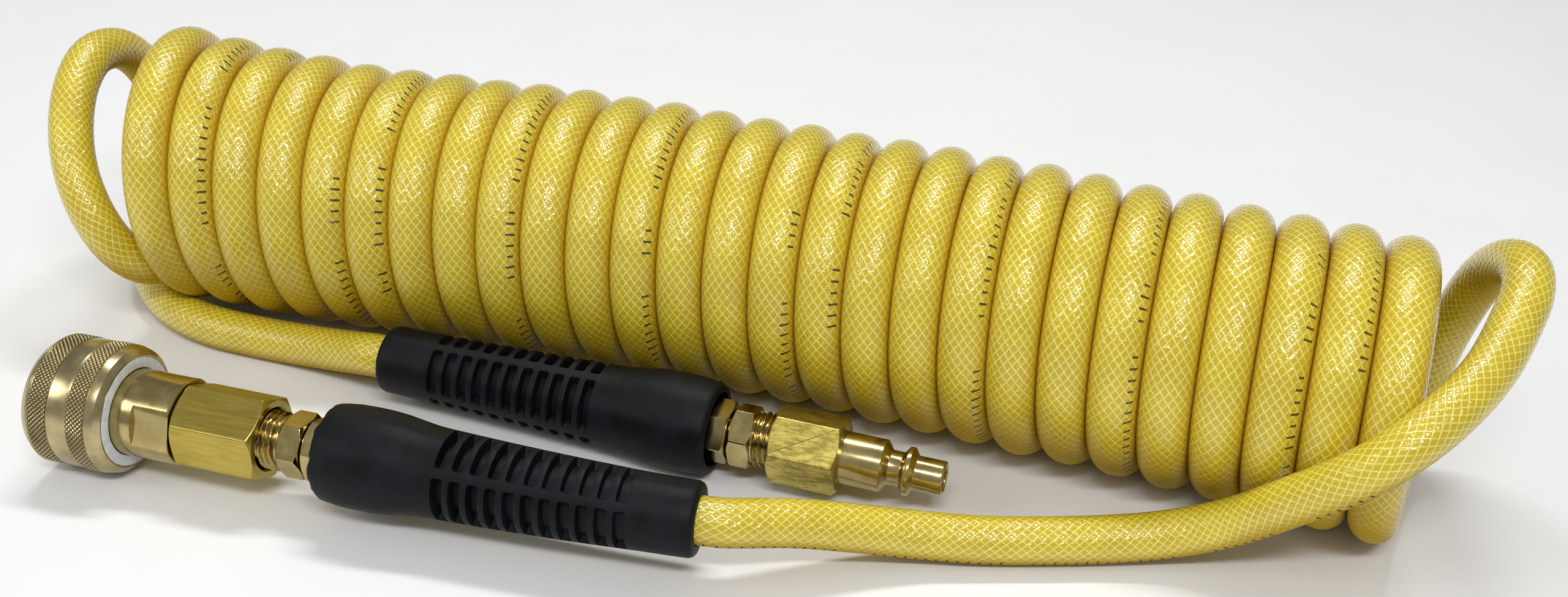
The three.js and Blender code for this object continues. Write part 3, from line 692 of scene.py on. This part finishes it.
# ---- materials ----
class Surface:
    """A material with a Principled shader, and short ways to add nodes to it."""

    def __init__(self, name, **constants):
        self.data = bpy.data.materials.new(name)
        self.data.use_nodes = True
        self.tree = self.data.node_tree
        self.shader = self.tree.nodes["Principled BSDF"]
        for socket, value in constants.items():
            self.shader.inputs[socket.replace("_", " ")].default_value = value

    def feed(self, socket, value):
        if isinstance(value, bpy.types.NodeSocket):
            self.tree.links.new(value, socket)
        else:
            socket.default_value = value

    def node(self, kind, values=(), **settings):
        node = self.tree.nodes.new("ShaderNode" + kind)
        for key, value in settings.items():
            setattr(node, key, value)
        for socket, value in dict(values).items():
            self.feed(node.inputs[socket], value)
        return node

    def math(self, operation, *values):
        return self.node("Math", enumerate(values), operation=operation).outputs[0]

    def rise(self, value, low, high):
        """0 below low and 1 above high, smooth between; falls instead if low is over high."""
        start, end, a, b = (low, high, 0.0, 1.0) if low < high else (high, low, 1.0, 0.0)
        values = {"Value": value, "From Min": start, "From Max": end, "To Min": a, "To Max": b}
        return self.node("MapRange", values, interpolation_type="SMOOTHSTEP").outputs[0]

    def mix(self, share, a, b):
        values = {0: share, 6: (*a, 1) if isinstance(a, tuple) else a, 7: (*b, 1) if isinstance(b, tuple) else b}
        return self.node("Mix", values, data_type="RGBA").outputs[2]

    def millimetres(self, stretch=(1, 1, 1)):
        """Object coordinates in millimetres, times stretch."""
        where = self.node("TexCoord").outputs["Object"]
        scale = tuple(1000.0 * times for times in stretch)
        return self.node("Mapping", {"Vector": where, "Scale": scale}).outputs[0]

    def noise(self, scale, stretch=(1, 1, 1), detail=3.0, roughness=0.55):
        values = {"Vector": self.millimetres(stretch), "Scale": scale, "Detail": detail, "Roughness": roughness}
        return self.node("TexNoise", values).outputs["Fac"]

    def bump(self, height, distance, strength):
        values = {"Height": height, "Distance": distance * MM, "Strength": strength}
        return self.node("Bump", values).outputs[0]

    def set(self, **values):
        """Feeds the Principled shader's sockets, named with underscores for spaces."""
        for socket, value in values.items():
            self.feed(self.shader.inputs[socket.replace("_", " ")], value)


YARNS = 18
YARN_PITCH = 2.25  # along the hose, from one crossing to the next on the same line
TICK_PITCH = 2.3
PRINT_AT = 0.872  # share of a turn round the hose from the side that faces out of the coil
PRINT_REPEAT = 596.0
PRINT_LENGTH = 205.0


def printed_ticks(s, along, around):
    """How much ink there is: ticks of uneven height, in groups, on a stretch of every PRINT_REPEAT."""
    tick = s.math("MULTIPLY", along, 1 / (TICK_PITCH * MM))
    cell = s.math("FLOOR", tick)
    random = s.node("TexWhiteNoise", {"W": cell}, noise_dimensions="1D").outputs["Value"]
    groups = s.node("TexNoise", {"W": cell, "Scale": 0.19, "Detail": 0.0}, noise_dimensions="1D").outputs["Fac"]
    bar = s.rise(s.math("PINGPONG", s.math("ADD", tick, 0.5), 0.5), 0.13, 0.08)
    off_row = s.math("ABSOLUTE", s.math("SUBTRACT", around, PRINT_AT))
    high = s.math("MULTIPLY_ADD", random, 0.016, 0.02)
    row = s.rise(s.math("SUBTRACT", off_row, high), 0.002, -0.002)
    printed = s.math("LESS_THAN", s.math("WRAP", along, PRINT_REPEAT * MM, 0.0), PRINT_LENGTH * MM)
    return s.math("MULTIPLY", s.math("MULTIPLY", bar, row), s.math("MULTIPLY", s.rise(groups, 0.38, 0.39), printed))


def hose_material():
    """Clear yellow plastic over crossing yarns, with painted shade where the turns meet, underneath and in the middle
    of each diamond.
    """
    s = Surface(
        "yellow_braided_hose", Subsurface_Weight=0.12, Subsurface_Scale=0.0025, Subsurface_Radius=(1.0, 0.62, 0.08),
        Coat_Roughness=0.025, Coat_IOR=1.55, IOR=1.45,
    )
    uv = s.node("SeparateXYZ", {0: s.node("UVMap", uv_map="tube").outputs[0]})
    along, around = uv.outputs[0], uv.outputs[1]
    steps = s.math("MULTIPLY", along, 1 / (YARN_PITCH * MM))
    yarns = s.math("MULTIPLY", around, float(YARNS))
    wobble = s.math("MULTIPLY", s.math("SUBTRACT", s.noise(0.35), 0.5), 0.35)
    offs = [s.math("PINGPONG", s.math("ADD", s.math(way, yarns, steps), wobble), 0.5) for way in ("ADD", "SUBTRACT")]
    over, below = (s.rise(off, 0.105, 0.045) for off in offs)
    shine = s.rise(s.noise(1.1, detail=2.0), 0.25, 0.75)
    yarn = s.math("MAXIMUM", over, s.math("MULTIPLY", below, 0.8))
    seen = s.math("MULTIPLY", yarn, s.math("MULTIPLY_ADD", shine, 0.55, 0.4))
    deep = s.rise(s.noise(0.12, detail=2.0), 0.3, 0.7)
    yellow = s.mix(deep, (0.555, 0.41, 0.001), (0.64, 0.50, 0.003))
    # Each diamond between the yarns is a little pillow. Painted shade darkens each one towards its middle.
    pillow = s.rise(s.math("MINIMUM", *offs), 0.0, 0.34)
    yellow = s.mix(s.math("MULTIPLY", pillow, 0.5), yellow, (0.52, 0.385, 0.001))
    colour = s.mix(seen, yellow, (0.93, 0.85, 0.30))
    # Painted shade: orange-brown where the turns touch and on the side inside the coil.
    crevice_shade = s.node("Attribute", attribute_name="crevice_shade").outputs["Fac"]
    colour = s.mix(s.math("MULTIPLY", crevice_shade, 0.85), colour, (0.50, 0.27, 0.003))
    # Painted shade: the side of the hose that faces down is darker.
    facing = s.node("SeparateXYZ", {0: s.node("NewGeometry").outputs["Normal"]})
    under = s.rise(facing.outputs[2], 0.05, -0.6)
    colour = s.mix(s.math("MULTIPLY", under, 0.7), colour, (0.38, 0.22, 0.001))
    ink = s.math("MULTIPLY", printed_ticks(s, along, around), 0.92)
    colour = s.mix(ink, colour, (0.012, 0.008, 0.004))
    lumps = s.noise(0.9, detail=1.5)
    skin = s.math("ADD", s.math("MULTIPLY", pillow, 0.5), lumps)
    s.set(
        Base_Color=colour, Roughness=s.math("MULTIPLY_ADD", seen, -0.1, 0.45),
        Normal=s.bump(yarn, 0.05, 0.4), Coat_Normal=s.bump(skin, 0.17, 1.0),
        Coat_Weight=s.math("MULTIPLY_ADD", under, -0.95, 1.0),
        Specular_IOR_Level=s.math("MULTIPLY_ADD", under, -0.35, 0.37),
    )
    return s.data


def rubber_material():
    """Matt black rubber with a fine grain and a little dust."""
    s = Surface("black_rubber", Specular_IOR_Level=0.15)
    fine, broad = s.noise(2.6, detail=4.0), s.noise(0.16)
    colour = s.mix(s.rise(broad, 0.3, 0.75), (0.0032, 0.0038, 0.0045), (0.0068, 0.0082, 0.0112))
    dust = s.rise(s.noise(1.3, detail=1.0), 0.73, 0.8)
    colour = s.mix(s.math("MULTIPLY", dust, 0.25), colour, (0.06, 0.063, 0.07))
    rough = s.math("MULTIPLY_ADD", broad, 0.25, 0.38)
    s.set(Base_Color=colour, Roughness=rough, Normal=s.bump(s.math("ADD", fine, s.noise(0.5)), 0.06, 0.55))
    return s.data


def drawn_brass():
    """Bright-drawn bar, faintly streaked along its length."""
    s = Surface("drawn_brass", Metallic=1.0)
    streak = s.noise(0.9, (0.14, 2.6, 2.6), 4.0, 0.6)
    cloud = s.noise(0.22, (0.5, 1, 1))
    colour = s.mix(s.rise(streak, 0.25, 0.8), (0.43, 0.328, 0.062), (0.54, 0.425, 0.098))
    colour = s.mix(s.rise(cloud, 0.45, 0.75), colour, (0.39, 0.29, 0.050))
    rough = s.math("MULTIPLY_ADD", streak, 0.16, 0.22)
    s.set(Base_Color=colour, Roughness=rough, Normal=s.bump(streak, 0.02, 0.5))
    return s.data


SCRATCHED_FLAT = math.pi / 6 - PLUG_TURN  # how far this flat faces up from level
SCRATCH_SLOPE, SCRATCH_OFFSET = 0.605, -12.98  # its line across the flat: across = slope * x + offset
SCRATCH_MIDDLE, SCRATCH_HALF_LENGTH = 22.1, 6.2
SCRATCH_INNER, SCRATCH_OUTER = 0.08, 0.15
SCRATCH_OUTSIDE_OF = 7.5


def rough_brass():
    """The plug's bar: a scuffed skin, dark in the hollows, with one long scratch across a flat."""
    s = Surface("scuffed_brass", Metallic=1.0)
    streak = s.noise(1.0, (0.35, 1.6, 1.6), 5.0, 0.75)
    patch = s.noise(0.35, (0.6, 1, 1))
    worn = s.rise(s.math("MULTIPLY_ADD", patch, 0.4, s.math("MULTIPLY", streak, 0.6)), 0.40, 0.60)
    colour = s.mix(worn, (0.27, 0.215, 0.05), (0.60, 0.49, 0.125))
    x, y, z = s.node("SeparateXYZ", {0: s.node("TexCoord").outputs["Object"]}).outputs
    out_y, out_z = -math.cos(SCRATCHED_FLAT), math.sin(SCRATCHED_FLAT)
    outward = s.math("MULTIPLY_ADD", y, out_y, s.math("MULTIPLY", z, out_z))
    across = s.math("MULTIPLY_ADD", y, out_z, s.math("MULTIPLY", z, -out_y))
    line = s.math("MULTIPLY_ADD", x, -SCRATCH_SLOPE, across)
    off_line = s.math("ABSOLUTE", s.math("SUBTRACT", line, SCRATCH_OFFSET * MM))
    on_line = s.rise(off_line, SCRATCH_OUTER * MM, SCRATCH_INNER * MM)
    scratch = s.math("MULTIPLY", on_line, s.math("GREATER_THAN", outward, SCRATCH_OUTSIDE_OF * MM))
    off_middle = s.math("ABSOLUTE", s.math("SUBTRACT", x, SCRATCH_MIDDLE * MM))
    scratch = s.math("MULTIPLY", scratch, s.math("LESS_THAN", off_middle, SCRATCH_HALF_LENGTH * MM))
    colour = s.mix(s.math("MULTIPLY", scratch, 0.7), colour, (0.15, 0.115, 0.025))
    rough = s.math("MULTIPLY_ADD", worn, -0.1, 0.42)
    height = s.math("SUBTRACT", s.math("ADD", streak, worn), s.math("MULTIPLY", scratch, 2.0))
    s.set(Base_Color=colour, Roughness=rough, Normal=s.bump(height, 0.04, 0.5))
    return s.data


def turned_brass():
    """Lathe-turned brass, with fine rings round its axis."""
    s = Surface("turned_brass", Metallic=1.0)
    tool = s.noise(1.0, (7.0, 0.05, 0.05), 3.0)
    cloud = s.noise(0.3)
    colour = s.mix(s.rise(cloud, 0.3, 0.75), (0.42, 0.33, 0.13), (0.54, 0.44, 0.20))
    rough = s.math("MULTIPLY_ADD", cloud, 0.16, 0.11)
    s.set(Base_Color=colour, Roughness=rough, Normal=s.bump(tool, 0.012, 0.4))
    return s.data


def sleeve_brass():
    """Satin brass, brown in the cuts of the knurls."""
    s = Surface("knurled_brass", Metallic=1.0)
    tool = s.noise(1.0, (6.0, 0.06, 0.06), 3.0)
    cloud = s.noise(0.25)
    groove = s.node("Attribute", attribute_name="groove").outputs["Fac"]
    colour = s.mix(s.rise(cloud, 0.3, 0.75), (0.42, 0.345, 0.18), (0.54, 0.45, 0.25))
    colour = s.mix(s.math("MULTIPLY", s.rise(groove, 0.05, 0.8), 0.85), colour, (0.080, 0.054, 0.019))
    rough = s.math("MULTIPLY_ADD", groove, 0.2, s.math("MULTIPLY_ADD", cloud, 0.18, 0.17))
    s.set(Base_Color=colour, Roughness=rough, Normal=s.bump(tool, 0.012, 0.4))
    return s.data


def plain_material(name, dark, light, scale, rough, **constants):
    """A surface whose colour and roughness wander between two values, with a fine grain."""
    s = Surface(name, **constants)
    cloud, grain = s.noise(scale), s.noise(scale * 8, detail=4.0)
    s.set(
        Base_Color=s.mix(s.rise(cloud, 0.3, 0.7), dark, light),
        Roughness=s.math("MULTIPLY_ADD", grain, 0.15, rough), Normal=s.bump(grain, 0.03, 0.4),
    )
    return s.data


def dress(obj, material):
    obj.data.materials.clear()
    obj.data.materials.append(material)


# ---- the scene ----
BRIGHT_TOWARD = -0.1, -0.62, 0.78
DARKEST_AT, BRIGHTEST_AT = -0.6, 1.0
DARKEST, BRIGHTEST = 0.12, 0.42


def make_world():
    """Soft studio light: brighter in front and above, dimmer behind."""
    world = bpy.data.worlds.new("studio")
    bpy.context.scene.world = world
    world.use_nodes = True
    tree = world.node_tree
    background = tree.nodes["Background"]
    where = tree.nodes.new("ShaderNodeTexCoord")
    toward = tree.nodes.new("ShaderNodeVectorMath")
    toward.operation = "DOT_PRODUCT"
    toward.inputs[1].default_value = BRIGHT_TOWARD
    ramp = tree.nodes.new("ShaderNodeMapRange")
    ramp.inputs["From Min"].default_value = DARKEST_AT
    ramp.inputs["From Max"].default_value = BRIGHTEST_AT
    ramp.inputs["To Min"].default_value = DARKEST
    ramp.inputs["To Max"].default_value = BRIGHTEST
    tree.links.new(where.outputs["Generated"], toward.inputs[0])
    tree.links.new(toward.outputs["Value"], ramp.inputs["Value"])
    tree.links.new(ramp.outputs[0], background.inputs["Strength"])
    background.inputs["Color"].default_value = (1, 1, 1, 1)


LOOKED_AT = 0, 0, 0.03  # metres: about the middle of the object


def add_light(name, direction, distance, size, power):
    """An area light that looks at the middle of the object. size is (width, height), in metres."""
    data = bpy.data.lights.new(name, "AREA")
    data.shape, data.size, data.size_y, data.energy = "RECTANGLE", size[0], size[1], power
    light = bpy.data.objects.new(name, data)
    bpy.context.scene.collection.objects.link(light)
    direction = Vector(direction).normalized()
    light.location = Vector(LOOKED_AT) + direction * distance
    light.rotation_mode = "QUATERNION"
    light.rotation_quaternion = (-direction).to_track_quat("-Z", "Y")


def make_floor():
    """A pale floor that reaches past every view's edge."""
    half = 6000.0
    vertices = [[-half, -half, 0], [half, -half, 0], [half, half, 0], [-half, half, 0]]
    floor = link_mesh("floor", vertices, [[0, 1, 2, 3]])
    s = Surface("pale_floor")
    grain = s.noise(0.02)
    colour = s.mix(grain, (0.82, 0.82, 0.82), (0.86, 0.86, 0.86))
    s.set(Base_Color=colour, Roughness=s.math("MULTIPLY_ADD", grain, 0.1, 0.6))
    dress(floor, s.data)


make_camera()
hose, hose_centre = make_hose()

RUBBER, TURNED, SLEEVE = rubber_material(), turned_brass(), sleeve_brass()
DRAWN = drawn_brass()
ROUGH = rough_brass()
STEEL = plain_material("spring_steel", (0.42, 0.42, 0.43), (0.56, 0.56, 0.57), 0.6, 0.2, Metallic=1.0)
NYLON = plain_material("white_nylon", (0.62, 0.64, 0.67), (0.80, 0.82, 0.85), 0.5, 0.45, Subsurface_Weight=0.05)
SEAL = plain_material("black_seal", (0.012, 0.012, 0.013), (0.024, 0.024, 0.026), 0.5, 0.45)

dress(hose, hose_material())
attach(hose, "hose")
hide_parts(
    "hose_coil", "hose_left_loop", "hose_right_loop", "hose_plug_tail", "hose_coupler_tail",
    "hose_end_plug", "hose_end_coupler",
)


def add_piece(obj, material, place, turn, body, slot, *nodes):
    """Turns a piece about its own axis and puts it in place, with its material, body and CAD nodes. Its slot is not
    used.
    """
    dress(obj, material)
    obj.data.transform(Matrix.Rotation(turn, 4, "X"))
    obj.matrix_world = place
    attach(obj, body)
    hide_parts(*nodes)


for side, rim, heading, rubber_roll, stem_roll, swivel_roll, ragged in (
    ("plug", PLUG_RIM, PLUG_HEADING, 0.3, 0.06, -0.35, 0.03),
    ("coupler", COUPLER_RIM, COUPLER_HEADING, -0.9, 0.4, 0.1, 0.13),
):
    rubber = make_restrictor(f"restrictor_{side}", rubber_roll, ragged)
    if side == "coupler":
        bend_to_coupler(rubber)
    place = end_matrix(rim, heading)
    add_piece(rubber, RUBBER, place, 0.0, "hose", "rubber", f"bend_restrictor_{side}")
    add_piece(make_stem(f"stem_{side}"), TURNED, place, stem_roll, "hose", "brass", f"hose_stem_{side}")
    add_piece(make_swivel(f"threaded_swivel_{side}"), TURNED, place, swivel_roll, side, "brass", f"swivel_{side}")

nipple = make_plug("plug_nipple")
add_piece(nipple, ROUGH, end_matrix(PLUG_RIM, PLUG_HEADING), PLUG_TURN, "plug", "brass", "quick_plug")
nipple.data.materials.append(TURNED)
for face in nipple.data.polygons:
    face.material_index = int(face.center.x > PLUG_HEX_TO * MM)

ring_outline = eased([[48.0, 9.92], [48.0, 12.42], [49.7, 12.42], [49.7, 9.92]], 0.25)
clip_outline = eased([[63.4, 7.7], [63.4, 9.9], [64.4, 9.9], [64.4, 7.7]], 0.3)
seal_outline = eased([[52.5, 6.4], [54.3, 6.4], [54.3, 4.6], [53, 4.2], [52.5, 4.6]], 0.2)
poppet_outline = eased(
    [[42, 0], [42, 2.4], [47, 2.4], [47.6, 5.7], [49.2, 5.7], [49.2, 3.6], [51.2, 3.6], [51.6, 3.2], [51.6, 0]],
    0.15, False,
)
poppet_seal_outline = eased([[49.5, 3.9], [49.5, 5.6], [50.2, 5.6], [50.2, 3.9]], 0.15)

coupler_place = end_matrix(COUPLER_RIM, COUPLER_HEADING)
adapter = make_adapter("adapter")
add_piece(adapter, DRAWN, coupler_place, COUPLER_TURN + ADAPTER_TURN, "coupler", "brass", "coupler_adapter")
for piece, material, body, slot, node in (
    (make_coupler_body("socket_body"), TURNED, "coupler", "brass", "coupler_body"),
    (make_sleeve("sleeve"), SLEEVE, "sleeve", "brass", "lock_sleeve"),
    (round_piece("ring_white", ring_outline), NYLON, "sleeve", "nylon", "dust_ring"),
    (round_piece("clip", clip_outline), STEEL, "coupler", "steel", "sleeve_clip"),
    (round_piece("seal_ring", seal_outline), SEAL, "coupler", "seal", "socket_seal"),
    (round_piece("poppet", poppet_outline, False), TURNED, "valve", "brass", "valve_poppet"),
    (round_piece("poppet_seal", poppet_seal_outline), SEAL, "valve", "seal", "valve_seal"),
    (make_spring("spring_sleeve", 50.3, 53.9, radius=9.2, turns=3), STEEL, "coupler", "steel", "sleeve_spring"),
    (make_spring("spring_valve", 36.3, 42.6, radius=4.4, turns=5), STEEL, "coupler", "steel", "valve_spring"),
):
    add_piece(piece, material, coupler_place, COUPLER_TURN, body, slot, node)
for i in range(4):
    ball = make_ball(f"ball_bearing_{i + 1}", i * math.pi / 2 + math.pi / 4)
    add_piece(ball, STEEL, coupler_place, COUPLER_TURN, f"ball_{i + 1}", "steel", f"lock_ball_{i + 1}")

for side in ("plug", "coupler"):
    dress(CAD_NODES[f"crimp_ferrule_{side}"], TURNED)
    dress(CAD_NODES[f"swivel_retainer_{side}"], STEEL)
    dress(CAD_NODES[f"stem_o_ring_{side}"], SEAL)

make_world()
add_light("overhead", (0.0, 0.34, 0.94), distance=1.1, size=(0.6, 0.09), power=6.0)
add_light("front", (0.05, -0.64, 0.77), distance=1.1, size=(0.6, 0.09), power=5.4)
add_light("left", (-0.85, -0.35, 0.55), distance=1.2, size=(0.35, 0.35), power=2.2)
make_floor()

bpy.context.scene.view_settings.view_transform = "Standard"
